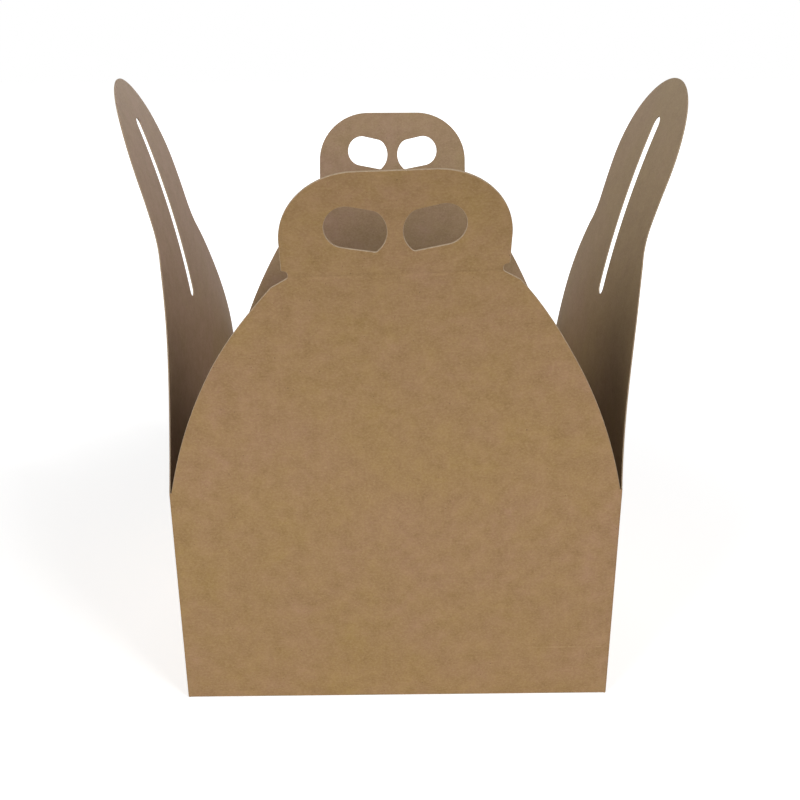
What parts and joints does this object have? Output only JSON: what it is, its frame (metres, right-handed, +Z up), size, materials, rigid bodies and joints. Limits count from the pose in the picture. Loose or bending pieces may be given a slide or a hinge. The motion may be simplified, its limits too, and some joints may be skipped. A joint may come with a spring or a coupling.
{
  "type": "panettone box",
  "caption": "Open square kraft card box for a dome cake, with bowed top flaps: front and back handles with finger holes, and slotted side tongues that close over the handles.",
  "frame": {"origin": "middle of the underside", "axes": "+Z up, front wall towards -Y, +X to the right seen from the front"},
  "size_m": [0.2664, 0.272, 0.2767],
  "materials": {
    "card": "uncoated brown kraft"
  },
  "bodies": {
    "tray": {"tray": "card"},
    "front_handle_flap": {"front_handle_flap": "card"},
    "back_handle_flap": {"back_handle_flap": "card"},
    "left_slot_flap": {"left_slot_flap": "card"},
    "right_slot_flap": {"right_slot_flap": "card"}
  },
  "joints": [
    {"name": "front_crease", "type": "hinge", "parent": "tray", "child": "front_handle_flap", "pos_m": [0, -0.0997, 0.108], "axis": [-1, 0, 0], "range_deg": [-60, 54]},
    {"name": "back_crease", "type": "hinge", "parent": "tray", "child": "back_handle_flap", "pos_m": [0, 0.0997, 0.108], "axis": [1, 0, 0], "range_deg": [-60, 54]},
    {"name": "left_crease", "type": "hinge", "parent": "tray", "child": "left_slot_flap", "pos_m": [-0.0997, 0, 0.108], "axis": [0, 1, 0], "range_deg": [-60, 22]},
    {"name": "right_crease", "type": "hinge", "parent": "tray", "child": "right_slot_flap", "pos_m": [0.0997, 0, 0.108], "axis": [0, -1, 0], "range_deg": [-60, 22]}
  ]
}
